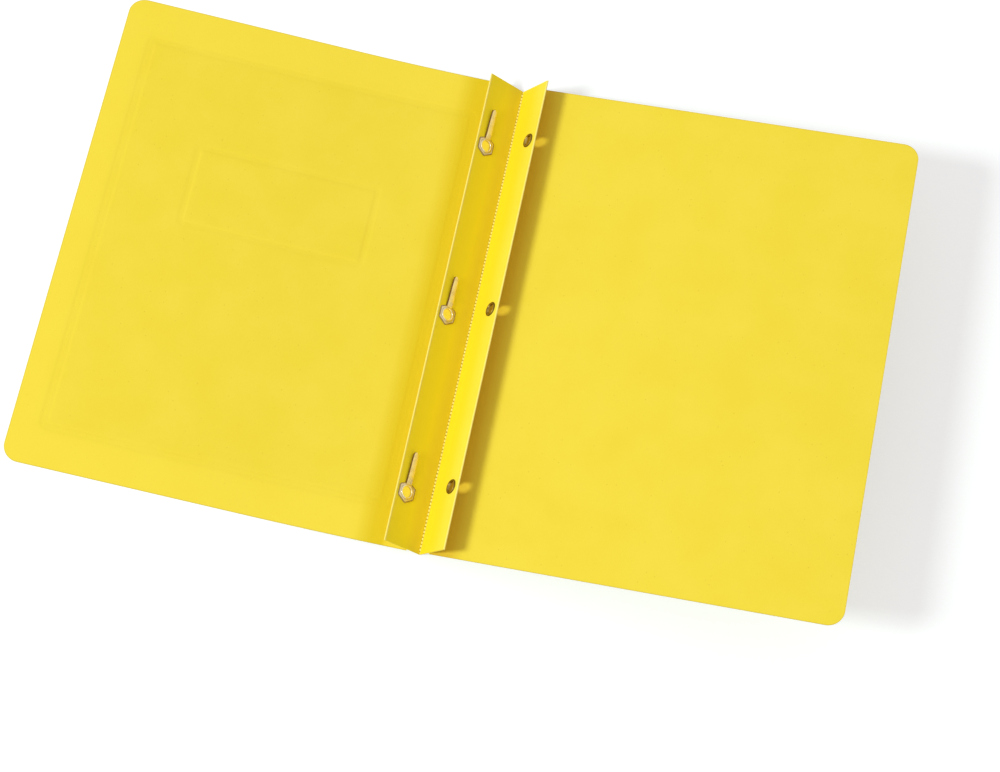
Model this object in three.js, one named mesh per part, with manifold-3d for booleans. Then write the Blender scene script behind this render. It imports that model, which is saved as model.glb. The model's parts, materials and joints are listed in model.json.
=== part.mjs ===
// Report cover of embossed paperboard, lying open, inside up.
// One scored blank is pleated along its spine. From left to right it runs front cover, front flap,
// back flap, back cover. Each flap is a doubled leaf that rises from the valley fold of the spine.
// The front flap carries three metal rings, each with a soft tang that bends up through the sheets.
// The back flap has three eyelets in line with the tangs. The title label is on the outside of the
// front cover, so it faces the table here.
// Millimetres. +X runs from the front cover to the back cover, +Y to the head of the page, +Z up.
// The origin is the middle of the floor plan, at table height.

import * as THREE from 'three';
import { mergeVertices } from 'three/addons/utils/BufferGeometryUtils.js';
import Module from 'manifold-3d';

// Board and blank
const boardThickness = 0.4;
const leafGap = 0.1;            // between the two leaves of a flap, and under each clinched rim
const creaseGap = 0.3;          // left open along a crease, where the board only bends
const coverHeight = 292.1;
const panelWidth = 229.3;       // from the hinge crease to the fore edge
const cornerRadius = 9.5;       // of the fore edge corners

// Spine
const spineBand = 8.7;          // from the valley fold to a hinge crease: the spine of the closed cover
const flapDepth = 25.4;         // from the valley fold to a flap's folded ridge
const flapTrim = 0.45;          // the flaps stop this short of the head and the foot
const flapHeight = coverHeight - 2 * flapTrim;

// How the cover lies open, in degrees from the table
const frontFlapAngle = 34.4;
const backFlapAngle = 62.7;
const backCoverAngle = 11.2;
const bowLength = 95;           // over this width the front cover eases down from its hinge to the table
const bowSteps = 8;

// Three-hole fastening
const holeCount = 3;
const holePitch = 107.95;
const holeInset = 18.1;         // from the valley fold

// Ring of a tang
const ringBore = 6.4;
const ringOffset = 7;           // the ring sits this far below its hole line, so the tang stands on the line
const ringPlateWidth = 11.2;     // across the plate's upright sides
const ringPlateSide = 3.3;      // from the bore's centre up or down to the plate's side corners
const ringPlateFoot = 6.7;      // from the bore's centre down to the plate's point
const ringPlateNeck = 4.9;      // from the bore's centre up to the edge that carries the tang
const ringPlateThickness = 0.3;
const ringBeadWidth = 0.9;
const ringBeadHeight = 0.6;

// Eyelet of the back flap
const eyeletBore = 6.2;
const eyeletRimWidth = 1.2;
const eyeletRimHeight = 0.3;

// Both are clinched on the far side of their flap, where the rim crushes a seat into the board
const barrelWall = 0.25;
const barrelClearance = 0.1;
const clinchWidth = 1.1;
const clinchThickness = 0.2;
const crushDepth = 0.2;

// Tang
const tangLength = 17.9;
const tangWidth = 4.8;
const tangTipWidth = 3.9;
const tangThickness = 0.35;
const tangLift = 2;             // degrees that a tang stands off its flap
const tangClearance = 0.15;     // from the ring, once the tang stands upright

// Embossing of the front cover: broad shallow ridges outside, which are grooves inside
const embossHeight = 0.15;
const embossFlank = 1.2;        // width of each sloping side of a ridge
const borderWidth = 4.4;        // of the ridge that runs round the cover
const borderInsetAcross = 17.8; // from the hinge crease and the fore edge to the middle of the ridge
const borderInsetUp = 24;       // from the head and the foot to the middle of the ridge
const titleRidgeWidth = 3.4;    // of the ridge round the label
const titleCentreAcross = 115.2;    // from the hinge crease
const titleCentreUp = 38.2;         // from the middle of the page
const titleWidth = 106.5;
const titleHeight = 48.2;
const titleRecess = 0.08;       // the label's bed is pressed in by this much

// Title label
const labelMarginAcross = 3.35; // from the middle of the ridge at each side, were it stuck on straight
const labelMarginUp = 2.4;
const labelWidth = titleWidth - 2 * labelMarginAcross;
const labelHeight = titleHeight - 2 * labelMarginUp;
const labelThickness = 0.1;
const labelShift = -0.7;        // off the middle of its bed, towards the hinge: it is stuck on by hand

// Roundness
const roundSteps = 48;
const foldSteps = 6;
const cornerSteps = 8;

const foldRadius = boardThickness + leafGap / 2;
const flapThickness = 2 * boardThickness + leafGap;
const seatGap = leafGap;

const wasm = await Module();
wasm.setup();

const colours = {
  board: { color: 0xf4dd35, roughness: 0.7, metalness: 0 },
  fastener: { color: 0xc9b98a, roughness: 0.3, metalness: 1 },
  eyelet: { color: 0xb8924a, roughness: 0.35, metalness: 1 },
  label: { color: 0xeef0ef, roughness: 0.6, metalness: 0 },
};

function radians(degrees) {
  return THREE.MathUtils.degToRad(degrees);
}

// A closed geometry as a solid that can be joined and cut
function toSolid(geometry) {
  const bare = geometry.clone();
  bare.deleteAttribute('normal');
  bare.deleteAttribute('uv');
  const merged = mergeVertices(bare, 1e-5);
  const vertProperties = new Float32Array(merged.attributes.position.array);
  const triVerts = new Uint32Array(merged.index.array);
  return new wasm.Manifold(new wasm.Mesh({ numProp: 3, vertProperties, triVerts }));
}

function toGeometry(solid) {
  const mesh = solid.getMesh();
  const geometry = new THREE.BufferGeometry();
  geometry.setAttribute('position', new THREE.BufferAttribute(mesh.vertProperties, 3));
  geometry.setIndex(new THREE.BufferAttribute(mesh.triVerts, 1));
  geometry.computeVertexNormals();
  return geometry;
}

function named(name, geometry, finish) {
  const mesh = new THREE.Mesh(geometry, new THREE.MeshStandardMaterial(colours[finish]));
  mesh.name = name;
  return mesh;
}

// A round bar along Z, to cut a hole or a seat
function plug(radius, low, high) {
  const bar = new THREE.CylinderGeometry(radius, radius, high - low, roundSteps);
  bar.rotateX(Math.PI / 2);
  bar.translate(0, 0, (low + high) / 2);
  return bar;
}

// A ring turned about Z from a closed section of [radius, height] points, given anticlockwise
function turned(section) {
  const points = [...section, section[0]].map(([r, z]) => new THREE.Vector2(r, z));
  const ring = new THREE.LatheGeometry(points, roundSteps);
  ring.rotateX(Math.PI / 2);
  return ring;
}

// Heights of the hole line of each fastening, from the head down
function holeHeights() {
  return Array.from({ length: holeCount }, (_, i) => ((holeCount - 1) / 2 - i) * holePitch);
}

const placeNames = ['top', 'middle', 'bottom'];

function nameAt(piece, i) {
  return `${piece}_${holeCount === placeNames.length ? placeNames[i] : i + 1}`;
}

// Flap

// Section of a flap across the spine: the inner leaf from the valley to the ridge, the fold, and the
// outer leaf back to the hinge crease. The inner face is at height 0. side is -1 for the front flap.
function flapSection(side) {
  const outline = new THREE.Shape();
  const foldCentre = flapDepth - foldRadius;
  const foldHeight = -boardThickness - leafGap / 2;
  const at = (x, z) => new THREE.Vector2(side * x, z);
  const points = [at(creaseGap, -boardThickness), at(creaseGap, 0)];
  for (let i = 0; i <= 2 * foldSteps; i += 1) {
    const turn = Math.PI / 2 - (i / (2 * foldSteps)) * Math.PI;
    points.push(at(foldCentre + foldRadius * Math.cos(turn), foldHeight + foldRadius * Math.sin(turn)));
  }
  points.push(at(spineBand + creaseGap, -flapThickness));
  points.push(at(spineBand + creaseGap, -flapThickness + boardThickness));
  for (let i = foldSteps; i >= 0; i -= 1) {
    const turn = Math.PI / 2 - (i / foldSteps) * Math.PI;
    const reach = leafGap / 2;
    points.push(at(foldCentre + reach * Math.cos(turn), foldHeight + reach * Math.sin(turn)));
  }
  outline.setFromPoints(points);
  return outline;
}

// An outline across the spine, carried along the spine
function alongSpine(outline, length) {
  const bar = new THREE.ExtrudeGeometry(outline, { depth: length, bevelEnabled: false });
  bar.rotateX(Math.PI / 2);
  bar.translate(0, length / 2, 0);
  return bar;
}

function barrelRadius(bore) {
  return bore / 2 + barrelWall;
}

// A flap with a hole for each barrel and a crushed seat for each clinched rim
function flap(side, bore, offset) {
  let solid = toSolid(alongSpine(flapSection(side), flapHeight));
  const hole = barrelRadius(bore) + barrelClearance;
  const seat = barrelRadius(bore) + clinchWidth + barrelClearance;
  for (const height of holeHeights()) {
    for (const [radius, top] of [[hole, 1], [seat, -flapThickness + crushDepth]]) {
      const cut = plug(radius, -flapThickness - 1, top);
      cut.translate(side * holeInset, height - offset, 0);
      solid = solid.subtract(toSolid(cut));
    }
  }
  return toGeometry(solid);
}

// Barrel of a clinched fastening: a rim on the inner face, the barrel, and the clinched rim beyond the
// outer leaf. The rim has a rolled top.
function clinchedBarrel(bore, rimWidth, rimHeight) {
  const inside = bore / 2;
  const outside = barrelRadius(bore);
  const rim = inside + barrelWall + rimWidth;
  const clinch = outside + clinchWidth;
  const clinchTop = -flapThickness + crushDepth - seatGap / 2;
  const roll = rimHeight / 2;
  return turned([
    [inside, clinchTop - clinchThickness],
    [clinch, clinchTop - clinchThickness],
    [clinch, clinchTop],
    [outside, clinchTop],
    [outside, seatGap],
    [rim, seatGap],
    [rim, seatGap + roll],
    [rim - roll, seatGap + rimHeight],
    [inside + roll, seatGap + rimHeight],
    [inside, seatGap + roll],
  ]);
}

// Plate of a ring: upright sides, a point at the foot, and an edge at the head as wide as the tang
function ringPlate() {
  const side = ringPlateWidth / 2;
  const outline = new THREE.Shape();
  outline.setFromPoints([
    new THREE.Vector2(0, -ringPlateFoot),
    new THREE.Vector2(side, -ringPlateSide),
    new THREE.Vector2(side, ringPlateSide),
    new THREE.Vector2(tangWidth / 2, ringPlateNeck),
    new THREE.Vector2(-tangWidth / 2, ringPlateNeck),
    new THREE.Vector2(-side, ringPlateSide),
    new THREE.Vector2(-side, -ringPlateSide),
  ]);
  const plate = new THREE.ExtrudeGeometry(outline, { depth: ringPlateThickness, bevelEnabled: false });
  plate.translate(0, 0, seatGap);
  return plate;
}

// Ring of a tang: the plate round its clinched barrel
function tangRing() {
  const bore = plug(ringBore / 2, -1, seatGap + ringPlateThickness + 1);
  const barrel = clinchedBarrel(ringBore, ringBeadWidth, ringBeadHeight);
  return toGeometry(toSolid(ringPlate()).subtract(toSolid(bore)).add(toSolid(barrel)));
}

// Tang lying along +Y from its bend, tapered to a round tip
function tang() {
  const outline = new THREE.Shape();
  const shoulder = tangLength - tangTipWidth / 2;
  outline.moveTo(-tangWidth / 2, 0);
  outline.lineTo(tangWidth / 2, 0);
  outline.lineTo(tangTipWidth / 2, shoulder);
  outline.absarc(0, shoulder, tangTipWidth / 2, 0, Math.PI, false);
  outline.closePath();
  return new THREE.ExtrudeGeometry(outline, {
    depth: tangThickness, bevelEnabled: false, curveSegments: cornerSteps,
  });
}

// Where a tang's bend lies, up the page from the hole line
function tangBend() {
  return -ringOffset + ringPlateNeck + tangThickness + tangClearance;
}

function frontFlapGroup() {
  const group = new THREE.Group();
  group.add(named('front_flap', flap(-1, ringBore, ringOffset), 'board'));
  holeHeights().forEach((height, i) => {
    const ring = named(nameAt('tang_ring', i), tangRing(), 'fastener');
    ring.position.set(-holeInset, height - ringOffset, 0);
    const bent = named(nameAt('tang', i), tang(), 'fastener');
    bent.position.set(-holeInset, height + tangBend(), seatGap);
    bent.rotation.x = radians(tangLift);
    group.add(ring, bent);
  });
  group.rotation.y = radians(frontFlapAngle);
  return group;
}

function backFlapGroup() {
  const group = new THREE.Group();
  group.add(named('back_flap', flap(1, eyeletBore, 0), 'board'));
  holeHeights().forEach((height, i) => {
    const geometry = clinchedBarrel(eyeletBore, eyeletRimWidth - barrelWall, eyeletRimHeight);
    const eyelet = named(nameAt('eyelet', i), geometry, 'eyelet');
    eyelet.position.set(holeInset, height, 0);
    group.add(eyelet);
  });
  group.rotation.y = -radians(backFlapAngle);
  return group;
}

// Covers

// Where a hinge crease lies, seen along the spine, with the valley fold at the origin
function hingeAt(side, flapAngle) {
  const tilt = radians(flapAngle);
  const x = spineBand * Math.cos(tilt) + flapThickness * Math.sin(tilt);
  const z = spineBand * Math.sin(tilt) - flapThickness * Math.cos(tilt);
  return new THREE.Vector3(side * x, 0, z);
}

// Outline of a cover panel from above, from its hinge to its rounded fore edge
function panelOutline(side) {
  const low = -coverHeight / 2;
  const high = coverHeight / 2;
  const r = cornerRadius;
  const outline = new THREE.Shape();
  outline.moveTo(creaseGap, low);
  outline.lineTo(panelWidth - r, low);
  outline.absarc(panelWidth - r, low + r, r, -Math.PI / 2, 0, false);
  outline.lineTo(panelWidth, high - r);
  outline.absarc(panelWidth - r, high - r, r, 0, Math.PI / 2, false);
  outline.lineTo(creaseGap, high);
  outline.closePath();
  return new THREE.Shape(outline.getPoints(cornerSteps).map((p) => new THREE.Vector2(side * p.x, p.y)));
}

function backCoverGroup() {
  const panel = new THREE.ExtrudeGeometry(panelOutline(1), { depth: boardThickness, bevelEnabled: false });
  panel.translate(0, 0, -boardThickness);
  const group = new THREE.Group();
  group.add(named('back_cover', panel, 'board'));
  group.position.copy(hingeAt(1, backFlapAngle));
  group.rotation.y = -radians(backCoverAngle);
  return group;
}

function frontHingeRise() {
  return hingeAt(-1, frontFlapAngle).z;
}

// Distance of each facet edge of the bow from the hinge
function bowBreaks() {
  return Array.from({ length: bowSteps + 1 }, (_, i) => (i / bowSteps) * bowLength);
}

// Height of the front cover's inner face over its flat part. It falls from the hinge along a parabola
// that meets the flat smoothly, in flat facets. across is the distance from the hinge.
function bowHeight(across) {
  const facet = bowLength / bowSteps;
  const i = Math.min(bowSteps, Math.floor(across / facet + 1e-9));
  const heightOf = (n) => frontHingeRise() * Math.max(0, 1 - n / bowSteps) ** 2;
  return THREE.MathUtils.lerp(heightOf(i), heightOf(i + 1), across / facet - i);
}

// The embossed rectangles, each as its middle and half sizes along the middle of the ridge, measured
// from the hinge and the page's middle, with the ridge's width and how deep the board inside it lies
function embossedRectangles() {
  const border = {
    across: panelWidth / 2, halfAcross: panelWidth / 2 - borderInsetAcross,
    up: 0, halfUp: coverHeight / 2 - borderInsetUp, ridge: borderWidth, bed: 0,
  };
  const title = {
    across: titleCentreAcross, halfAcross: titleWidth / 2,
    up: titleCentreUp, halfUp: titleHeight / 2, ridge: titleRidgeWidth, bed: -titleRecess,
  };
  return [border, title];
}

// How far a rectangle's embossing stands out of the board at a distance from the middle of its ridge,
// negative towards the inside
function ridgeHeight(rectangle, distance) {
  const crown = (rectangle.ridge - embossFlank) / 2;
  const fall = THREE.MathUtils.clamp((Math.abs(distance) - crown) / embossFlank, 0, 1);
  return THREE.MathUtils.lerp(embossHeight, distance < 0 ? rectangle.bed : 0, fall);
}

function embossDepth(across, up) {
  return embossedRectangles().reduce((total, rectangle) => {
    const beyondAcross = Math.abs(across - rectangle.across) - rectangle.halfAcross;
    const beyondUp = Math.abs(up - rectangle.up) - rectangle.halfUp;
    return total + ridgeHeight(rectangle, Math.max(beyondAcross, beyondUp));
  }, 0);
}

// Grid lines that the ridges need where their crowns and flanks begin and end
function embossBreaks(centreKey, halfKey) {
  return embossedRectangles().flatMap((rectangle) => {
    const foot = (rectangle.ridge + embossFlank) / 2;
    const crown = (rectangle.ridge - embossFlank) / 2;
    const steps = [-foot, -crown, crown, foot];
    return [-1, 1].flatMap((end) => (
      steps.map((step) => rectangle[centreKey] + end * (rectangle[halfKey] + step))));
  });
}

function ascending(values) {
  return [...new Set(values.map((v) => Number(v.toFixed(4))))].sort((a, b) => a - b);
}

// A sheet over a grid of distances from the hinge and heights up the page, with its upper face at
// topAt(across, up)
function gridSheet(acrossLines, upLines, topAt, thickness) {
  const positions = [0, thickness].flatMap((under) => acrossLines.flatMap((across) => (
    upLines.flatMap((up) => [-across, up, topAt(across, up) - under]))));
  const lastRow = acrossLines.length - 1;
  const lastColumn = upLines.length - 1;
  const corner = (layer, i, j) => (layer * acrossLines.length + i) * upLines.length + j;
  const faces = [];
  const quad = (a, b, c, d) => faces.push(a, b, c, a, c, d);
  for (let i = 0; i < lastRow; i += 1) {
    for (let j = 0; j < lastColumn; j += 1) {
      quad(corner(0, i, j), corner(0, i, j + 1), corner(0, i + 1, j + 1), corner(0, i + 1, j));
      quad(corner(1, i, j), corner(1, i + 1, j), corner(1, i + 1, j + 1), corner(1, i, j + 1));
    }
  }
  const wall = (i, j, nextI, nextJ) => (
    quad(corner(0, i, j), corner(0, nextI, nextJ), corner(1, nextI, nextJ), corner(1, i, j)));
  for (let i = 0; i < lastRow; i += 1) {
    wall(i, 0, i + 1, 0);
    wall(i + 1, lastColumn, i, lastColumn);
  }
  for (let j = 0; j < lastColumn; j += 1) {
    wall(0, j + 1, 0, j);
    wall(lastRow, j, lastRow, j + 1);
  }
  const sheet = new THREE.BufferGeometry();
  sheet.setAttribute('position', new THREE.Float32BufferAttribute(positions, 3));
  sheet.setIndex(faces);
  return sheet;
}

// The sheet of the front cover follows the bow and the embossing, then it is cut to its outline
function frontCover() {
  const overrun = 1;
  const upEnd = coverHeight / 2 + overrun;
  const embossed = embossBreaks('across', 'halfAcross');
  const acrossLines = ascending([...bowBreaks(), ...embossed, panelWidth + overrun]);
  const upLines = ascending([-upEnd, ...embossBreaks('up', 'halfUp'), upEnd]);
  const topAt = (across, up) => bowHeight(across) - embossDepth(across, up);
  const sheet = gridSheet(acrossLines, upLines, topAt, boardThickness);
  const tall = 2 * (frontHingeRise() + boardThickness + embossHeight) + 2;
  const outline = new THREE.ExtrudeGeometry(panelOutline(-1), { depth: tall, bevelEnabled: false });
  outline.translate(0, 0, -tall / 2);
  return toGeometry(toSolid(sheet).intersect(toSolid(outline)));
}

// The label is stuck on the outer face, in its bed inside the title ridge
function titleLabel() {
  const middle = titleCentreAcross + labelShift;
  const near = middle - labelWidth / 2;
  const far = middle + labelWidth / 2;
  const acrossLines = ascending([near, ...bowBreaks().filter((a) => a > near && a < far), far]);
  const upLines = [titleCentreUp - labelHeight / 2, titleCentreUp + labelHeight / 2];
  const topAt = (across) => bowHeight(across) - boardThickness + titleRecess - seatGap / 2;
  return gridSheet(acrossLines, upLines, topAt, labelThickness);
}

function frontCoverGroup() {
  const group = new THREE.Group();
  group.add(named('front_cover', frontCover(), 'board'));
  group.add(named('title_label', titleLabel(), 'label'));
  group.position.x = hingeAt(-1, frontFlapAngle).x;
  return group;
}

// Moves the open cover so that the origin is the middle of its floor plan, at table height
function standOnTable(cover) {
  cover.updateMatrixWorld(true);
  const box = new THREE.Box3().setFromObject(cover, true);
  const middle = box.getCenter(new THREE.Vector3());
  cover.position.set(-middle.x, -middle.y, -box.min.z);
  return cover;
}

const cover = new THREE.Group();
cover.add(frontCoverGroup(), frontFlapGroup(), backFlapGroup(), backCoverGroup());

export default standOnTable(cover);
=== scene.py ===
# Report cover of yellow board, lying open with its inside up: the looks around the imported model.
# Lengths in this script are in millimetres, and a mesh is scaled to metres when it is made.

import json

import bmesh
import bpy
import numpy as np
from mathutils import Matrix


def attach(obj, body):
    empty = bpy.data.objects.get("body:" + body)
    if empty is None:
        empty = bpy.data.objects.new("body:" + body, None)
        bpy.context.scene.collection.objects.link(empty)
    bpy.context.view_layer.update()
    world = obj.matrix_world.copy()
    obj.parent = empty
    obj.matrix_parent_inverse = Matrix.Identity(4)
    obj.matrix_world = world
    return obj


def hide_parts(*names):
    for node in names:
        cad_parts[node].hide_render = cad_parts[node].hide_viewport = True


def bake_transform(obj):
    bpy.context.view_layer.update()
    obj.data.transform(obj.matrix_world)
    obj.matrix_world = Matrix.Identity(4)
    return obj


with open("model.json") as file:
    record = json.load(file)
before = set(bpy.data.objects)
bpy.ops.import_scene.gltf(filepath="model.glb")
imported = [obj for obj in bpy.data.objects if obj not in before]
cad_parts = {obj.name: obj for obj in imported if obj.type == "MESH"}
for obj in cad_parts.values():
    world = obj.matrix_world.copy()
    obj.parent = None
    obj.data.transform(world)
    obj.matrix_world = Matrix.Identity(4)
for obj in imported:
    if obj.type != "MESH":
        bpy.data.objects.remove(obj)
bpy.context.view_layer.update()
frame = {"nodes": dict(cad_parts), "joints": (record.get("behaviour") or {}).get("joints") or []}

MM = 0.001

# Board and blank
BOARD = 0.4
LEAF_GAP = 0.1
CREASE_GAP = 0.3
COVER_HEIGHT = 292.1
PANEL_WIDTH = 229.3
CORNER = 9.5
SPINE_BAND = 8.7
FLAP_DEPTH = 25.4
FLAP_HEIGHT = 291.2
FLAP_THICKNESS = 2 * BOARD + LEAF_GAP
PERFORATION = 2.1

# How the cover lies open, in degrees from the table
FRONT_FLAP_ANGLE = 34.4
BACK_FLAP_ANGLE = 62.7
BACK_COVER_ANGLE = 11.2
BOW_LENGTH = 95.0

# Fastenings
HOLE_PITCH = 107.95
HOLE_INSET = 18.1
RING_DROP = 7.0
RING_BORE = 6.4
EYELET_BORE = 6.2
EYELET_RIM = 4.3
BARREL_WALL = 0.25
CLINCH_WIDTH = 1.1
SEAT_GAP = 0.1
CLINCH_TOP = -0.75
CLINCH_FOOT = -0.95
CLINCH_ROLL = 0.12
RING_BEAD = 0.6
EYELET_BEAD = 0.3
EYELET_ROLL = 0.13
PLATE_OUTLINE = [(0, -6.7), (5.6, -3.3), (5.6, 3.3), (2.4, 4.9), (-2.4, 4.9), (-5.6, 3.3), (-5.6, -3.3)]
PLATE_TOP = 0.4
PLATE_ROLL = 0.15
PLACES = {"top": HOLE_PITCH, "middle": 0.0, "bottom": -HOLE_PITCH}

# A tang: where it starts and ends up the page from its ring's middle, its half width at the neck and what
# it loses by the tip, the length of the round tip and its half thickness
TANG_NECK = 4.3
TANG_END = 23.3
TANG_HALF_WIDTH = 2.4
TANG_TAPER = 0.45
TANG_TIP = 1.96
TANG_HALF_THICKNESS = 0.17

# Embossing of the front board: how far the press lifts each face and the width of a ridge's flank there,
# then middle across and up, half sizes, ridge width and depth of the bed inside
EMBOSS_OUTER = (0.15, 1.4)
EMBOSS_INNER = (0.10, 1.9)
BORDER = (PANEL_WIDTH / 2, 0.0, PANEL_WIDTH / 2 - 17.8, COVER_HEIGHT / 2 - 24, 4.4, 0.0)
TITLE = (115.2, 38.2, 53.25, 24.1, 3.4, -0.5)

# Print on the label: middle across and up, half sizes, corner radius, half of the line's width
LABEL_PRINT = (114.1, 38.65, 45.8, 18.65, 3.5, 0.17)

# Dashes of the scored valley: length, width, height and where they start over the corner
DASH = (1.4, 1.0, 0.4, 0.3)

# Tones of the board, and the share of each: outside the border, at a cut edge, on a fleck, on a worn ridge,
# which is wear with a painted highlight, and the painted shade in the cuts between the dashes
MARGIN_TONE = ("fbe844", 0.5)
TRIM_TONE = ("c6b02e", 0.6)
FLECK_TONE = ("c8ac30", 0.45)
WORN_AND_HIGHLIGHT_TONE = ("fbf08a", 0.75)
CUT_SHADE_TONE = ("a6981a", 0.5)
# Share of the painted shade along each board's hinge, where the flaps shade it
HINGE_SHADE_SHARE = 0.85

# Where the tones lie: over which distances from the border the margin sets in, how far a cut edge darkens
# the faces, and from the hinge where the painted shade along each board's hinge starts and between where it
# fades
MARGIN_REACH = (-3.4, 6.8)
TRIM_REACH = 0.45
FRONT_HINGE_SHADE = (14, 19, 33)
BACK_HINGE_SHADE = (0, 9, 20)

# Light: strength and colour of the key lamp, the way to it, how far it is and how wide in metres, strength
# and colour of the room, and of the floor its colour, the white that it shows the camera, half its side in
# metres and how far it lies below the cover
KEY = 2.02
KEY_COLOUR = (1.0, 1.037, 1.035)
KEY_DIRECTION = (-0.70, -0.34, 0.63)
KEY_AWAY = 4.2
KEY_SIZE = 0.94
FILL = 0.57
FILL_COLOUR = (1.0, 0.87, 0.91, 1)
WHITE = (1, 1, 1, 1)
FLOOR_COLOUR = (0.59, 0.66, 0.64, 1)
FLOOR_GLOW = 0.5
FLOOR_HALF = 4.0
FLOOR_DROP = 0.03


# Places

JOINTS = {joint["name"]: joint for joint in frame["joints"]}


def crease_place(joint):
    """The point of a crease at the middle of the page, as [x, 0, z]."""
    return np.array(JOINTS[joint]["pos_m"], float) / MM


VALLEY = crease_place("spine_fold")
FRONT_HINGE = crease_place("front_hinge")
BACK_HINGE = crease_place("back_hinge")


class Leaf:
    """A flat reference for one leaf of the cover: its crease, the direction away from the crease and the
    direction out of its inner face. side is -1 to the left of the crease and 1 to the right."""

    def __init__(self, origin, angle, side):
        turn = np.radians(angle)
        self.origin = origin
        self.across = np.array([side * np.cos(turn), 0, np.sin(turn)])
        self.out = np.array([-side * np.sin(turn), 0, np.cos(turn)])

    def at(self, across, up, out):
        """Points at a distance from the crease, a height up the page and a height over the inner face."""
        across, up, out = np.broadcast_arrays(across, up, out)
        return (self.origin + across[..., None] * self.across + out[..., None] * self.out
                + up[..., None] * np.array([0, 1.0, 0]))


FRONT_FLAP = Leaf(VALLEY, FRONT_FLAP_ANGLE, -1)
BACK_FLAP = Leaf(VALLEY, BACK_FLAP_ANGLE, 1)
FRONT_BOARD = Leaf(FRONT_HINGE, 0, -1)
BACK_BOARD = Leaf(BACK_HINGE, BACK_COVER_ANGLE, 1)


# Meshes

def strip_faces(index):
    """Faces between neighbouring rows and columns of a grid of vertex numbers."""
    corners = [index[:-1, :-1], index[1:, :-1], index[1:, 1:], index[:-1, 1:]]
    return np.stack(corners, axis=-1).reshape(-1, 4)


def closed(index, axis):
    """The grid with its first row or column repeated at the end, so that it closes on itself."""
    return np.concatenate([index, np.take(index, [0], axis=axis)], axis=axis)


def new_object(name, data):
    """An object in the scene that holds a mesh, lamp or camera."""
    made = bpy.data.objects.new(name, data)
    bpy.context.scene.collection.objects.link(made)
    return made


def make_piece(name, points, faces, sharp=35):
    """A mesh from points in millimetres and faces, turned outwards, smooth below the sharp angle."""
    mesh = bpy.data.meshes.new(name)
    mesh.from_pydata((points.reshape(-1, 3) * MM).tolist(), [], [list(map(int, face)) for face in faces])
    edit = bmesh.new()
    edit.from_mesh(mesh)
    bmesh.ops.recalc_face_normals(edit, faces=edit.faces)
    edit.to_mesh(mesh)
    edit.free()
    mesh.shade_smooth()
    mesh.set_sharp_from_angle(angle=np.radians(sharp))
    return new_object(name, mesh)


def rim(grid):
    """The numbers round the edge of a grid, each once."""
    return np.concatenate([grid[:-1, 0], grid[-1, :-1], grid[:0:-1, -1], grid[0, :0:-1]])


def solid_sheet(name, upper, lower):
    """A closed sheet between two grids of points, with a wall round its rim."""
    rows, columns = upper.shape[:2]
    top = np.arange(rows * columns).reshape(rows, columns)
    low = top + rows * columns
    wall = closed(np.stack([rim(top), rim(low)], axis=1), 0)
    faces = np.concatenate([strip_faces(top), strip_faces(low)[:, ::-1], strip_faces(wall)])
    return make_piece(name, np.concatenate([upper.reshape(-1, 3), lower.reshape(-1, 3)]), faces)


def solid_bar(name, sections, sharp=35):
    """A closed bar through a row of closed sections, with a flat fan at each end."""
    rows, columns = sections.shape[:2]
    index = np.arange(rows * columns).reshape(rows, columns)
    faces = [list(face) for face in strip_faces(closed(index, 1))]
    faces += [list(index[0]), list(index[-1][::-1])]
    return make_piece(name, sections, faces, sharp)


def solid_ring(name, points, sharp):
    """A surface closed both ways, as a ring is: round its hole and round its section."""
    rows, columns = points.shape[:2]
    index = closed(closed(np.arange(rows * columns).reshape(rows, columns), 0), 1)
    return make_piece(name, points, strip_faces(index), sharp)


def smooth_step(low, high, value):
    """0 below low and 1 above high, with an S curve between them."""
    t = np.clip((value - low) / (high - low), 0, 1)
    return t * t * (3 - 2 * t)


# Node helpers

class Nodes:
    """A short way to write a node tree: each call adds a node, links or sets its inputs, and returns an
    output socket."""

    def __init__(self, tree):
        self.tree = tree

    def add(self, kind, inputs=None, output=0, **settings):
        node = self.tree.nodes.new(kind)
        for key, value in settings.items():
            setattr(node, key, value)
        for key, value in (inputs or {}).items():
            self.feed(node.inputs[key], value)
        return node.outputs[output]

    def end(self, kind, value):
        """Adds the tree's output node and links its shader."""
        self.tree.links.new(value, self.tree.nodes.new(kind).inputs[0])

    def feed(self, socket, value):
        if isinstance(value, bpy.types.NodeSocket):
            self.tree.links.new(value, socket)
        else:
            socket.default_value = value

    def math(self, operation, *values, clamp=False):
        return self.add("ShaderNodeMath", dict(enumerate(values)), operation=operation, use_clamp=clamp)

    def vector(self, operation, *values, output=0):
        return self.add("ShaderNodeVectorMath", dict(enumerate(values)), output, operation=operation)

    def ramp(self, value, low, high, to_low=0.0, to_high=1.0):
        inputs = {0: value, 1: low, 2: high, 3: to_low, 4: to_high}
        return self.add("ShaderNodeMapRange", inputs, interpolation_type="SMOOTHSTEP")

    def mix(self, factor, first, second):
        return self.add("ShaderNodeMix", {0: factor, 6: first, 7: second}, 2, data_type="RGBA")

    def noise(self, place, scale, detail=3.0, roughness=0.5):
        inputs = {"Vector": place, "Scale": scale, "Detail": detail, "Roughness": roughness}
        return self.add("ShaderNodeTexNoise", inputs, "Fac")


def empty_nodes(owner):
    """The emptied tree of a material or of the world."""
    owner.use_nodes = True
    owner.node_tree.nodes.clear()
    return Nodes(owner.node_tree)


def new_group(name, inputs, outputs):
    """An empty node group with named sockets, with its Nodes, its input node and its output node."""
    tree = bpy.data.node_groups.new(name, "ShaderNodeTree")
    for socket, kind, value in inputs:
        made = tree.interface.new_socket(socket, in_out="INPUT", socket_type=kind)
        if value is not None:
            made.default_value = value
    for socket, kind in outputs:
        tree.interface.new_socket(socket, in_out="OUTPUT", socket_type=kind)
    source = tree.nodes.new("NodeGroupInput")
    sink = tree.nodes.new("NodeGroupOutput")
    return tree, Nodes(tree), source.outputs, sink.inputs


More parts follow.
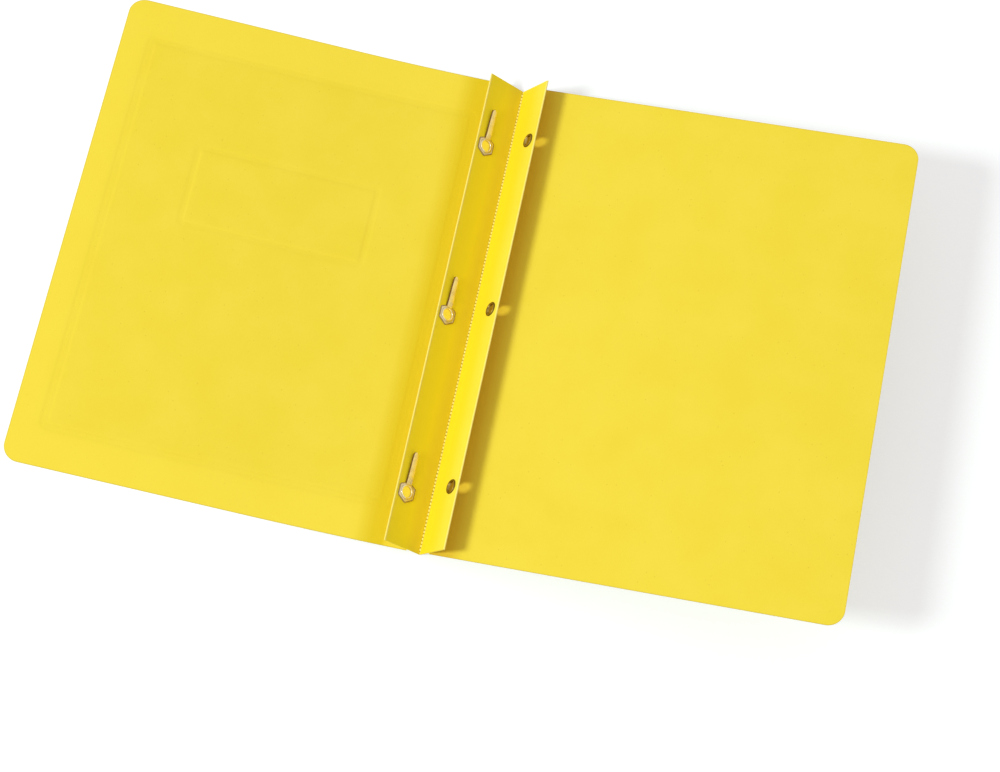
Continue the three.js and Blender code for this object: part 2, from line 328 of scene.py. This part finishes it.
def rgba(hex_colour):
    """A screen colour as linear red, green, blue and alpha."""
    parts = np.array([int(hex_colour[i:i + 2], 16) for i in (0, 2, 4)]) / 255
    linear = np.where(parts <= 0.04045, parts / 12.92, ((parts + 0.055) / 1.055) ** 2.4)
    return (*linear.tolist(), 1.0)


def fibre_group():
    """Mottle, flecks and surface height of pressed board: soft clouds, fine fibres drawn out along the
    page, the small pebbles of its calendered face, and a sparse scatter of darker flecks, which show where
    the face cuts close to a point of a Voronoi pattern."""
    tree, n, source, sink = new_group(
        "board_fibre",
        [("Place", "NodeSocketVector", None), ("Pebble", "NodeSocketFloat", 1.0)],
        [("Mottle", "NodeSocketFloat"), ("Fleck", "NodeSocketFloat"), ("Height", "NodeSocketFloat")],
    )
    drawn = n.vector("MULTIPLY", source["Place"], (1.0, 0.35, 1.0))
    clouds = n.noise(source["Place"], 35.0, 4.0)
    fibres = n.noise(drawn, 2400.0, 4.0, 0.6)
    pebbles = n.noise(source["Place"], 1500.0, 2.0)
    n.feed(sink["Mottle"], n.math("ADD", n.math("MULTIPLY", clouds, 0.6), n.math("MULTIPLY", fibres, 0.4)))
    points = n.add("ShaderNodeTexVoronoi", {"Vector": source["Place"], "Scale": 200.0}, "Distance")
    n.feed(sink["Fleck"], n.ramp(points, 0.03, 0.08, 1.0, 0.0))
    pressed = n.math("MULTIPLY", pebbles, source["Pebble"])
    n.feed(sink["Height"], n.math("ADD", pressed, n.math("MULTIPLY", fibres, 0.5)))
    return tree


def fold_group():
    """How near the board is to a fold that runs up the page: 1 within Near of the fold's axis at X and Z,
    falling to 0 at Far, with its edge frayed by noise."""
    tree, n, source, sink = new_group(
        "near_fold",
        [("Place", "NodeSocketVector", None), ("Axis", "NodeSocketVector", None),
         ("Near", "NodeSocketFloat", 0.0005), ("Far", "NodeSocketFloat", 0.0009),
         ("Fray", "NodeSocketFloat", 0.0002)],
        [("Mask", "NodeSocketFloat")],
    )
    level = n.vector("MULTIPLY", n.vector("SUBTRACT", source["Place"], source["Axis"]), (1.0, 0.0, 1.0))
    distance = n.vector("LENGTH", level, output=1)
    fray = n.math("MULTIPLY", n.noise(source["Place"], 900.0, 3.0), source["Fray"])
    edge = n.math("ADD", distance, fray)
    n.feed(sink["Mask"], n.ramp(edge, source["Near"], source["Far"], 1.0, 0.0))
    return tree


FIBRE = fibre_group()
NEAR_FOLD = fold_group()


def new_material(name):
    """A material with its Nodes, its Principled shader and the place on the object."""
    material = bpy.data.materials.new(name)
    n = empty_nodes(material)
    shader = n.add("ShaderNodeBsdfPrincipled").node
    n.end("ShaderNodeOutputMaterial", shader.outputs[0])
    return material, n, shader, n.add("ShaderNodeTexCoord", output="Object")


def place_fibre(n, place):
    """The board's grain, placed in a material."""
    fibre = n.add("ShaderNodeGroup", node_tree=FIBRE).node
    n.feed(fibre.inputs["Place"], place)
    return fibre


def set_relief(n, shader, height, strength, distance):
    """A Bump node that feeds the shader's normal."""
    bump = n.add("ShaderNodeBump", {"Height": height, "Strength": strength, "Distance": distance})
    n.feed(shader.inputs["Normal"], bump)


def near_fold(n, place, axis, near, far, fray=0):
    """The mask of fold_group round one axis, with its reaches in millimetres."""
    node = n.add("ShaderNodeGroup", node_tree=NEAR_FOLD).node
    n.feed(node.inputs["Place"], place)
    node.inputs["Axis"].default_value = tuple(axis * MM)
    for name, length in (("Near", near), ("Far", far), ("Fray", fray)):
        node.inputs[name].default_value = length * MM
    return node.outputs["Mask"]


def perforation_cut_shade(n, place):
    """1 in the short cuts between the dashes of the scored valley, which get painted shade: the up
    coordinate over the pitch, less its whole part, is near a half plus a half."""
    up = n.add("ShaderNodeSeparateXYZ", {0: place}).node.outputs[1]
    beat = n.math("FRACT", n.math("DIVIDE", up, PERFORATION * MM))
    beat = n.math("ABSOLUTE", n.math("SUBTRACT", beat, 0.5))
    return n.math("MULTIPLY", n.ramp(beat, 0.13, 0.2, 1.0, 0.0), near_fold(n, place, VALLEY, 0.7, 1.0))


def share_of(n, mask, tone, colour):
    """A colour with its tone's share mixed in where the mask is 1."""
    return n.mix(n.math("MULTIPLY", mask, tone[1]), colour, rgba(tone[0]))


def board_finish(name, first, second, painted_hinge_shade="e2ca06", flap_light_and_shade=None):
    """Yellow pressed board: faintly mottled, brighter in the margin, deeper along the hinge, where painted
    shade stands for the flaps' shade, and along its trimmed edge, paler where a ridge or crease is worn and
    has a painted highlight, with a fine pressed grain. For a flap, the last argument holds its leaf, the
    distances from the valley between which the painted light of its inner face fades, that tone, and the
    duller painted shade of the last stretch to the valley, where the perforation runs; the perforation's
    cuts get painted shade too."""
    material, n, shader, place = new_material(name)
    fibre = place_fibre(n, place)
    colour = n.mix(n.ramp(fibre.outputs["Mottle"], 0.35, 0.65), rgba(first), rgba(second))
    colour = share_of(n, fibre.outputs["Fleck"], FLECK_TONE, colour)
    # The hinge mark is painted shade: the shade beside and under the flaps along each hinge
    marks = {"margin": MARGIN_TONE, "painted_hinge_shade": (painted_hinge_shade, HINGE_SHADE_SHARE), "trimmed": TRIM_TONE}
    for attribute, tone in marks.items():
        amount = n.add("ShaderNodeAttribute", output="Fac", attribute_name=attribute)
        colour = share_of(n, amount, tone, colour)
    if flap_light_and_shade:
        # The flap's tones are painted light: a brighter, richer inner face fading from the valley, and
        # painted shade in the last stretch to it
        leaf, near, far, tone, valley_painted_shade = flap_light_and_shade
        over = n.vector("SUBTRACT", place, tuple(leaf.origin * MM))
        over = n.vector("DOT_PRODUCT", over, tuple(leaf.out), output=1)
        inner = n.ramp(over, -0.35 * MM, -0.15 * MM, 0.0, 0.85)
        for close, away, shade in ((near, far, tone), (4, 13, valley_painted_shade)):
            amount = n.math("MULTIPLY", near_fold(n, place, VALLEY, close, away), inner)
            colour = n.mix(amount, colour, rgba(shade))
    ridge = FLAP_DEPTH - BOARD - LEAF_GAP / 2
    low = -BOARD - LEAF_GAP / 2
    folds = [
        (FRONT_FLAP.at(ridge, 0, low), 0.50), (BACK_FLAP.at(ridge, 0, low), 0.50),
        (VALLEY, 0.34), (FRONT_HINGE, 0.34), (BACK_HINGE, 0.34),
    ]
    # Paler along the ridges and creases: wear of the folded board with a painted highlight on it
    worn_and_lit = None
    for axis, reach in folds:
        wear_and_highlight = near_fold(n, place, axis, reach, 1.7 * reach, 0.5 * reach)
        worn_and_lit = wear_and_highlight if worn_and_lit is None else n.math("MAXIMUM", worn_and_lit, wear_and_highlight)
    colour = share_of(n, worn_and_lit, WORN_AND_HIGHLIGHT_TONE, colour)
    if flap_light_and_shade:
        # Painted shade in the cuts of the perforation
        colour = share_of(n, perforation_cut_shade(n, place), CUT_SHADE_TONE, colour)
    n.feed(shader.inputs["Base Color"], colour)
    n.feed(shader.inputs["Roughness"], n.ramp(fibre.outputs["Mottle"], 0.3, 0.7, 0.62, 0.74))
    shader.inputs["Specular IOR Level"].default_value = 0.25
    set_relief(n, shader, fibre.outputs["Height"], 0.5, 0.0001)
    return material


def label_finish():
    """White label stock with a thin printed frame: the line lies where the distance to a rectangle with
    round corners is near 0, and the paper inside the frame is a little greyer."""
    material, n, shader, place = new_material("label_paper")
    across, up, half_across, half_up, corner, half_line = np.array(LABEL_PRINT) * MM
    middle = (float(FRONT_HINGE[0] * MM - across), float(up), 0.0)
    level = n.vector("ABSOLUTE", n.vector("SUBTRACT", place, middle))
    reach = n.vector("SUBTRACT", level, (half_across - corner, half_up - corner, 1.0))
    beyond = n.vector("LENGTH", n.vector("MAXIMUM", reach, (0.0, 0.0, 0.0)), output=1)
    split = n.add("ShaderNodeSeparateXYZ", {0: reach}).node
    inside = n.math("MINIMUM", n.math("MAXIMUM", split.outputs[0], split.outputs[1]), 0.0)
    distance = n.math("SUBTRACT", n.math("ADD", beyond, inside), corner)
    line = n.ramp(n.math("ABSOLUTE", distance), half_line - 0.05 * MM, half_line + 0.05 * MM, 1.0, 0.0)
    fibre = place_fibre(n, place)
    fibre.inputs["Pebble"].default_value = 0.3
    paper = n.mix(n.ramp(distance, -0.1 * MM, 0.1 * MM), rgba("e6e9e8"), rgba("f0f0ee"))
    paper = n.mix(n.ramp(fibre.outputs["Mottle"], 0.35, 0.65, 0.0, 0.12), paper, rgba("d9dcd8"))
    n.feed(shader.inputs["Base Color"], n.mix(line, paper, rgba("3c4566")))
    n.feed(shader.inputs["Roughness"], n.ramp(line, 0.0, 1.0, 0.55, 0.42))
    set_relief(n, shader, fibre.outputs["Height"], 0.15, 0.00003)
    return material


def metal_finish(name, light, dark, edge_shade, roughness):
    """Plated sheet metal: a soft cloud of tarnish, fine rolling lines in the gloss, and painted shade where
    the edge attribute is 1, along the cut edges where the metal meets the board."""
    material, n, shader, place = new_material(name)
    tarnish = n.noise(place, 260.0, 2.0)
    lines = n.noise(n.vector("MULTIPLY", place, (1.0, 0.08, 1.0)), 5000.0, 2.0)
    colour = n.mix(n.ramp(tarnish, 0.35, 0.7), rgba(light), rgba(dark))
    edge = n.add("ShaderNodeAttribute", output="Fac", attribute_name="edge")
    n.feed(shader.inputs["Base Color"], n.mix(edge, colour, rgba(edge_shade)))
    shader.inputs["Metallic"].default_value = 1.0
    uneven = n.math("MULTIPLY", n.math("SUBTRACT", lines, 0.5), 0.08)
    n.feed(shader.inputs["Roughness"], n.math("ADD", uneven, roughness, clamp=True))
    set_relief(n, shader, lines, 0.06, 0.00001)
    return material


# Both sheets carry painted shade along the hinge; the back one's is browner, where the back flap's shadow
# falls
FRONT_SHEET = board_finish("front_sheet", "f1de38", "f4e242")
BACK_SHEET = board_finish("back_sheet", "f1de38", "f4e242", painted_hinge_shade="deba28")
# The flaps' inner faces carry painted light near the valley and painted shade right at it
FRONT_LEAF = board_finish("front_leaf", "f3de38", "f5e242", flap_light_and_shade=(FRONT_FLAP, 21, 30, "ffed12", "ecd82e"))
BACK_LEAF = board_finish("back_leaf", "f3de38", "f5e242", flap_light_and_shade=(BACK_FLAP, 10, 23, "fbdc16", "f8de1c"))
# The dashes are paler than the board: a painted highlight for their lit flanks
DASH_HIGHLIGHT_BOARD = board_finish("dash_highlight_board", "f8e678", "fbee90")
LABEL_PAPER = label_finish()
TANG_METAL = metal_finish("tang_metal", "eadcb6", "dccaa0", "7a5618", 0.24)
EYELET_METAL = metal_finish("eyelet_metal", "b89c58", "8e7434", "5a4418", 0.30)


def mark(piece, name, amount):
    """Stores an amount for each vertex: for the metal, how much painted shade a point gets at a cut edge,
    or for the board, how far it is outside the border, how deep the painted shade along its hinge is, and
    how near it is to its cut edge."""
    values = piece.data.attributes.new(name, "FLOAT", "POINT")
    values.data.foreach_set("value", np.ascontiguousarray(amount, np.float32).ravel())


def dress(piece, material, body=None):
    """Gives a piece its finish and, if named, the body it rides on."""
    piece.data.materials.clear()
    piece.data.materials.append(material)
    if body:
        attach(piece, body)


# Boards

def rectangle_distance(across, up, rectangle, corner=2.5):
    """Signed distance from a rectangle with round corners: the length of what lies beyond its straight
    parts, less the corner's radius, and negative inside."""
    middle_across, middle_up, half_across, half_up = rectangle[:4]
    x = np.abs(across - middle_across) - half_across + corner
    y = np.abs(up - middle_up) - half_up + corner
    return np.hypot(np.maximum(x, 0), np.maximum(y, 0)) + np.minimum(np.maximum(x, y), 0) - corner


def mark_board(piece, across, up, start, near, far):
    """Marks the inner face of a board with painted shade along its hinge, from start to between near and
    far, and both faces as trimmed close to the outline."""
    inner = smooth_step(start - 3, start, across) * (1 - smooth_step(near, far, across))
    mark(piece, "painted_hinge_shade", np.stack([inner, np.zeros_like(inner)]))
    outline = rectangle_distance(across, up, (0, 0, PANEL_WIDTH, COVER_HEIGHT / 2), CORNER)
    mark(piece, "trimmed", np.stack([np.clip(1 + outline / TRIM_REACH, 0, 1)] * 2))


def emboss_height(across, up, lift, flank):
    """The press lifts a ridge with S-shaped flanks along each rectangle, and lowers the bed in it."""
    height = np.zeros(np.broadcast(across, up).shape)
    for rectangle in (BORDER, TITLE):
        ridge, bed = rectangle[4:]
        distance = rectangle_distance(across, up, rectangle)
        crown = (ridge - flank) / 2
        fall = smooth_step(crown, crown + flank, np.abs(distance))
        height += lift * (1 - fall + np.where(distance < 0, bed, 0) * fall)
    return height


def stations(length_from, length_to, step, dense):
    """Positions along a side: even steps, and closer ones across each ridge at the places in dense."""
    even = np.linspace(length_from, length_to, int((length_to - length_from) / step) + 1)
    close = np.concatenate([place + np.linspace(-3.4, 3.4, 18) for place in dense]) if dense else []
    values = np.unique(np.round(np.concatenate([even, close]), 3))
    values = values[(values >= length_from) & (values <= length_to)]
    keep = np.concatenate([[True], np.diff(values) > 0.12])
    keep[-1] = True
    return values[keep]


def board_grid(dense_across, dense_up):
    """Distances across and heights up a board. The half height shrinks over the last CORNER millimetres as
    a quarter circle does, so that every row ends on the rounded outline."""
    turn = np.linspace(0, np.pi / 2, 15)
    across = stations(0, PANEL_WIDTH - CORNER, 6, dense_across)
    across = np.concatenate([across[:-1], PANEL_WIDTH - CORNER + CORNER * np.sin(turn)])
    drop = CORNER - np.sqrt(np.maximum(CORNER ** 2 - np.maximum(across - PANEL_WIDTH + CORNER, 0) ** 2, 0))
    dense_up = dense_up + [-COVER_HEIGHT / 2, COVER_HEIGHT / 2]
    share = stations(-COVER_HEIGHT / 2, COVER_HEIGHT / 2, 8, dense_up) / (COVER_HEIGHT / 2)
    up = share[None] * (COVER_HEIGHT / 2 - drop)[:, None]
    return np.broadcast_to(across[:, None], up.shape), up


def front_board():
    """Both faces: rise * (1 - across / bow)^2 down to the flat, less the embossing, which is softer on the
    inner face. The outer face is a board's thickness lower."""
    middle_across, middle_up, half_across, half_up = np.array([BORDER[:4], TITLE[:4]]).T
    dense_across = np.concatenate([middle_across - half_across, middle_across + half_across])
    dense_up = np.concatenate([middle_up - half_up, middle_up + half_up])
    across, up = board_grid(list(dense_across), list(dense_up))
    rise = FRONT_HINGE[2] - VALLEY[2]
    height = rise * np.maximum(0, 1 - across / BOW_LENGTH) ** 2 - rise
    inner = FRONT_BOARD.at(across, up, height - emboss_height(across, up, *EMBOSS_INNER))
    outer = FRONT_BOARD.at(across, up, height - BOARD - emboss_height(across, up, *EMBOSS_OUTER))
    piece = solid_sheet("front_board_sheet", inner, outer)
    mark_board(piece, across, up, *FRONT_HINGE_SHADE)
    margin = smooth_step(*MARGIN_REACH, rectangle_distance(across, up, BORDER))
    mark(piece, "margin", np.stack([margin] * 2))
    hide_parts("front_cover")
    dress(piece, FRONT_SHEET, "front_board")


def back_board():
    """A flat board with two rounded outer corners."""
    across, up = board_grid([], [])
    inner = BACK_BOARD.at(across, up, 0.0)
    outer = BACK_BOARD.at(across, up, -BOARD)
    piece = solid_sheet("back_board_sheet", inner, outer)
    mark_board(piece, across, up, *BACK_HINGE_SHADE)
    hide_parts("back_cover")
    dress(piece, BACK_SHEET, "back_board")


# Folds

def up_the_page(section):
    """A closed section in x and z, carried up the page as far as the flaps reach."""
    up = np.linspace(-FLAP_HEIGHT / 2, FLAP_HEIGHT / 2, 40)
    section = np.asarray(section, float)
    points = np.zeros((len(up), len(section), 3))
    points[..., 0] = section[:, 0]
    points[..., 1] = up[:, None]
    points[..., 2] = section[:, 1]
    return points


def fold_strip(name, pivot, first_angle, last_angle, finish):
    """The board where it bends at a crease: a sector about the crease with the board's thickness as its
    radius, from the outer face of one leaf round to the outer face of the next."""
    angles = np.radians(np.linspace(first_angle, last_angle, 17))
    arc = pivot[[0, 2]] + BOARD * np.stack([np.cos(angles), np.sin(angles)], axis=1)
    section = np.concatenate([[pivot[[0, 2]]], arc])
    piece = solid_bar(name, up_the_page(section), 50)
    dress(piece, finish)
    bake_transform(piece)


def flap_rims(name, leaf, body, finish):
    """The last of each leaf of a flap, from where its solid stops to the crease itself."""
    reach = CREASE_GAP + 0.02
    for part, start, low in (("inner", 0.01, -BOARD), ("outer", SPINE_BAND, -FLAP_THICKNESS)):
        corners = [(0, 0), (0, BOARD), (reach / 2, BOARD), (reach, BOARD), (reach, 0), (reach / 2, 0)]
        section = [leaf.at(start + a, 0, low + n)[[0, 2]] for a, n in corners]
        piece = solid_bar(f"{name}_{part}_rim", up_the_page(section))
        dress(piece, finish, body)


def valley_perforation():
    """The dashes of the scored valley: a row of low pads that stand a little out of the corner, midway
    between the two flaps. A pad's outline is |x / w|^3 + |y / l|^3 = 1, and it shrinks as the cosine while
    its height grows as the sine."""
    length, width, height, foot = DASH
    count = int(FLAP_HEIGHT / PERFORATION / 2) * 2 - 1
    middle = (np.arange(count) - (count - 1) / 2) * PERFORATION
    turn = np.linspace(0, 2 * np.pi, 12, endpoint=False)
    lift = np.linspace(0, np.pi / 2, 5)[:-1]
    ring = np.cos(lift)[:, None]
    outline = np.stack([np.cos(turn), np.sin(turn)])
    x, y = np.sign(outline) * np.abs(outline) ** (2 / 3)
    corner = Leaf(VALLEY, (FRONT_FLAP_ANGLE - BACK_FLAP_ANGLE) / 2, -1)
    up = middle[:, None, None] + length / 2 * ring * y
    points = corner.at(width / 2 * ring * x, up, foot + height * np.sin(lift)[:, None])
    index = np.arange(points.size // 3).reshape(points.shape[:3])
    faces = []
    for dash in index:
        faces += [list(face) for face in strip_faces(closed(dash, 1))]
        faces += [list(dash[0]), list(dash[-1][::-1])]
    piece = make_piece("valley_perforation", points, faces, 60)
    dress(piece, DASH_HIGHLIGHT_BOARD)
    ends = [tuple(corner.at(side, 0, 0.5) * MM) for side in (width / 2, -width / 2)]
    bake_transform(piece)


def folds():
    """The two flaps keep their solids; the strips, rims and dashes close the board between the leaves."""
    dress(frame["nodes"]["front_flap"], FRONT_LEAF)
    dress(frame["nodes"]["back_flap"], BACK_LEAF)
    slope = np.degrees(np.arctan(2 * (FRONT_HINGE[2] - VALLEY[2]) / BOW_LENGTH))
    fold_strip("front_hinge_fold", FRONT_HINGE, slope - 90, 90 - FRONT_FLAP_ANGLE,
               FRONT_LEAF)
    fold_strip("valley_fold", VALLEY, -90 - FRONT_FLAP_ANGLE, BACK_FLAP_ANGLE - 90,
               FRONT_LEAF)
    fold_strip("back_hinge_fold", BACK_HINGE, BACK_FLAP_ANGLE - 270, BACK_COVER_ANGLE - 90,
               BACK_LEAF)
    flap_rims("front_flap", FRONT_FLAP, "front_spine_flap", FRONT_LEAF)
    flap_rims("back_flap", BACK_FLAP, "back_spine_flap", BACK_LEAF)
    valley_perforation()


# Metal

def polygon_radius(turn, outline, softness=26):
    """Distance from the origin to a polygon with softened corners: the inverse of the high-order mean of
    each side's share, which is the cosine to the side's normal over the side's distance."""
    corners = np.array(outline, float)
    side = np.roll(corners, -1, axis=0) - corners
    normal = np.stack([side[:, 1], -side[:, 0]], axis=1) / np.linalg.norm(side, axis=1)[:, None]
    distance = np.sum(normal * corners, axis=1)
    toward = np.stack([np.cos(turn), np.sin(turn)], axis=1)
    share = np.maximum(toward @ normal.T / distance, 0)
    return np.sum(share ** softness, axis=1) ** (-1 / softness)


def round_corner(start, end, circle, steps=5):
    """Points of a section between two angles in degrees on a circle, given by its middle and radius."""
    x, y, radius = circle
    angles = np.radians(np.linspace(start, end, steps))
    return [(x + radius * np.cos(a), y + radius * np.sin(a)) for a in angles]


def barrel_section(bore, rim_height):
    """Section of the barrel from the foot of its clinched rim up the bore and over the rolled bead, as
    [radius, height] points."""
    inside = bore / 2
    roll = rim_height / 2
    foot = round_corner(270, 180, (inside + CLINCH_ROLL, CLINCH_FOOT + CLINCH_ROLL, CLINCH_ROLL))
    bead = round_corner(180, 20, (inside + roll, SEAT_GAP + rim_height - roll, roll), 9)
    return foot + bead


def clinch_section(bore):
    """Section of the clinched rim, from under the flap round its edge to its foot."""
    outside = bore / 2 + BARREL_WALL
    rim = outside + CLINCH_WIDTH
    half = (CLINCH_TOP - CLINCH_FOOT) / 2
    edge = round_corner(90, -90, (rim - half, CLINCH_TOP - half, half), 7)
    return [(outside, SEAT_GAP), (outside, CLINCH_TOP)] + edge


def turned_piece(name, leaf, up, section, spread, edge, turn, body, material, node):
    """A ring about a hole of a flap. Its section turns round the hole's axis, each of its points moved out
    by its spread, and edge says how near each point is to the cut edge, which is how much painted shade it
    gets."""
    section = np.array(section)
    radius = section[None, :, 0] + spread
    across = HOLE_INSET + radius * np.cos(turn)[:, None]
    height = up + radius * np.sin(turn)[:, None]
    points = leaf.at(across, height, np.broadcast_to(section[None, :, 1], across.shape))
    piece = solid_ring(name, points, 40)
    mark(piece, "edge", np.broadcast_to(edge, across.shape))
    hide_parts(node)
    dress(piece, material, body)


def tang_ring(place, up):
    """The plate's outline is a soft polygon round the bore; the bead, barrel and clinched rim are round."""
    turn = np.linspace(0, 2 * np.pi, 120, endpoint=False)
    outline = polygon_radius(turn, PLATE_OUTLINE)
    barrel = barrel_section(RING_BORE, RING_BEAD)
    bead_foot = [(RING_BORE / 2 + 0.95, PLATE_TOP + 0.02)]
    flat = [(-0.9, PLATE_TOP), (-0.5, PLATE_TOP)]
    side = round_corner(90, -90, (-PLATE_ROLL, PLATE_TOP - PLATE_ROLL, PLATE_ROLL), 7)
    section = barrel + bead_foot + flat + side + clinch_section(RING_BORE)
    flat_start = len(barrel) + 1
    clinch_start = flat_start + len(flat) + len(side)
    moves = np.zeros(len(section))
    moves[flat_start:clinch_start] = 1
    # Painted shade round the plate's rim and, at lower strength, at the bead's foot
    edge = np.zeros(len(section))
    edge[flat_start + 1:clinch_start] = 0.75
    edge[len(barrel)] = 0.5
    turned_piece(f"ring_plate_{place}", FRONT_FLAP, up - RING_DROP, section, outline[:, None] * moves, edge,
                 turn, "front_spine_flap", TANG_METAL, f"tang_ring_{place}")


def eyelet(place, up):
    """A turned eyelet: rolled flange, barrel and clinched rim."""
    turn = np.linspace(0, 2 * np.pi, 72, endpoint=False)
    barrel = barrel_section(EYELET_BORE, EYELET_BEAD)
    side = round_corner(70, -90, (EYELET_RIM - EYELET_ROLL, SEAT_GAP + EYELET_ROLL, EYELET_ROLL), 6)
    section = barrel + side + clinch_section(EYELET_BORE)
    # Painted shade on the flange's rolled rim, where it meets the board
    edge = np.zeros(len(section))
    edge[len(barrel):len(barrel) + len(side)] = 1
    turned_piece(f"eyelet_ring_{place}", BACK_FLAP, up, section, np.zeros((len(turn), 1)), edge, turn,
                 "back_spine_flap", EYELET_METAL, f"eyelet_{place}")


def tang_strip(place, up):
    """A strip whose section is |x / w|^8 + |z / t|^2 = 1. Its middle line rises from the plate in an S and
    then curls up as the square of the distance, and its half width tapers to a round tip."""
    rounding = np.sin(np.linspace(0.05, np.pi / 2, 9))
    along = np.concatenate([np.linspace(TANG_NECK, 9, 16), np.linspace(9.6, TANG_END - 2, 14),
                            TANG_END - TANG_TIP * (1 - rounding)])
    lift = 0.26 + 0.3 * smooth_step(TANG_NECK + 0.4, 8.4, along) + 0.002 * (along - TANG_NECK) ** 2
    taper = TANG_HALF_WIDTH - TANG_TAPER * (along - TANG_NECK) / (TANG_END - TANG_NECK)
    tip = np.maximum((along - TANG_END + TANG_TIP) / TANG_TIP, 0)
    taper = taper * np.sqrt(np.maximum(1 - tip ** 2, 1e-4))
    x = np.array([1, 0.985, 0.95, 0.88, 0.76, 0.66, 0.56, 0.3, 0, -0.3, -0.66, -0.88, -0.95, -0.985, -1])
    z = np.sqrt(1 - x ** 8)
    x, z = np.concatenate([x, x[-2:0:-1]]), np.concatenate([z, -z[-2:0:-1]])
    across = HOLE_INSET + taper[:, None] * x
    thick = TANG_HALF_THICKNESS * np.minimum(1, taper / 0.6)[:, None] * z
    points = FRONT_FLAP.at(across, up - RING_DROP + along[:, None], lift[:, None] + thick)
    piece = solid_bar(f"tang_strip_{place}", points, 50)
    # Painted shade along one side of the strip, for the shade of the gap under the lifted tang
    mark(piece, "edge", np.broadcast_to(smooth_step(0.56, 0.7, x), across.shape))
    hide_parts(f"tang_{place}")
    dress(piece, TANG_METAL)
    ends = [tuple(FRONT_FLAP.at(HOLE_INSET, up - RING_DROP + y, 0.2) * MM) for y in (4.9, 5.9)]
    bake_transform(piece)


# Stage

def seen_directly(n):
    """1 for what the camera sees directly, in a reflection or through something clear."""
    path = n.add("ShaderNodeLightPath", output="Is Camera Ray").node
    seen = n.math("MAXIMUM", path.outputs["Is Camera Ray"], path.outputs["Is Glossy Ray"])
    return n.math("MAXIMUM", seen, path.outputs["Is Transmission Ray"])


def paper_white_floor():
    """A pale floor. Light Path adds white for the camera and for reflections, so that it reads as a white
    backdrop and still keeps the object's shadow."""
    mesh = bpy.data.meshes.new("floor")
    signs = ((-1, -1), (1, -1), (1, 1), (-1, 1))
    corners = [(x * FLOOR_HALF, y * FLOOR_HALF, -FLOOR_DROP * MM) for x, y in signs]
    mesh.from_pydata(corners, [], [(0, 1, 2, 3)])
    floor = new_object("floor", mesh)
    material = bpy.data.materials.new("pale_floor")
    n = empty_nodes(material)
    glow = n.add("ShaderNodeEmission", {"Strength": n.math("MULTIPLY", seen_directly(n), FLOOR_GLOW)})
    matt = n.add("ShaderNodeBsdfDiffuse", {"Color": FLOOR_COLOUR})
    n.end("ShaderNodeOutputMaterial", n.add("ShaderNodeAddShader", {0: glow, 1: matt}))
    mesh.materials.append(material)


def stand(made, right, up, back, place):
    """Puts an object at a place in metres, with its own axes along right, up and back."""
    rows = np.stack([right, up, back, place], axis=1).tolist()
    made.matrix_world = Matrix(rows + [[0, 0, 0, 1]])


def studio_light():
    """A broad key light from the left and a little from the front, and an even white room."""
    lamp = bpy.data.lights.new("key", "AREA")
    lamp.shape = "DISK"
    lamp.size = KEY_SIZE
    lamp.color = KEY_COLOUR
    lamp.energy = KEY * np.pi * KEY_AWAY ** 2
    back = np.array(KEY_DIRECTION) / np.linalg.norm(KEY_DIRECTION)
    right = np.cross([0, 0, 1.0], back)
    right = right / np.linalg.norm(right)
    stand(new_object("key", lamp), right, np.cross(back, right), back, back * KEY_AWAY)
    world = bpy.data.worlds.new("room")
    n = empty_nodes(world)
    seen = seen_directly(n)
    strength = n.math("ADD", n.math("MULTIPLY", seen, 1 - FILL), FILL)
    colour = n.mix(seen, FILL_COLOUR, WHITE)
    n.end("ShaderNodeOutputWorld", n.add("ShaderNodeBackground", {"Color": colour, "Strength": strength}))
    bpy.context.scene.world = world


def view():
    """The camera, from the fit of the photograph's edges, creases and fastenings."""
    right = np.array([0.971988, 0.201199, 0.121480])
    down = np.array([0.229880, -0.921450, -0.313186])
    ahead = np.array([0.048925, 0.332339, -0.941890])
    place = np.array([-40.915, -501.755, 1314.524]) * MM
    lens = bpy.data.cameras.new("view")
    lens.sensor_width = 36
    lens.lens = 88.124
    lens.clip_end = 20
    camera = new_object("view", lens)
    stand(camera, right, -down, -ahead, place)
    bpy.context.scene.camera = camera


front_board()
back_board()
folds()
dress(frame["nodes"]["title_label"], LABEL_PAPER)
for place, up in PLACES.items():
    tang_ring(place, up)
    tang_strip(place, up)
    eyelet(place, up)
paper_white_floor()
studio_light()
view()
bpy.context.scene.view_settings.view_transform = "Standard"
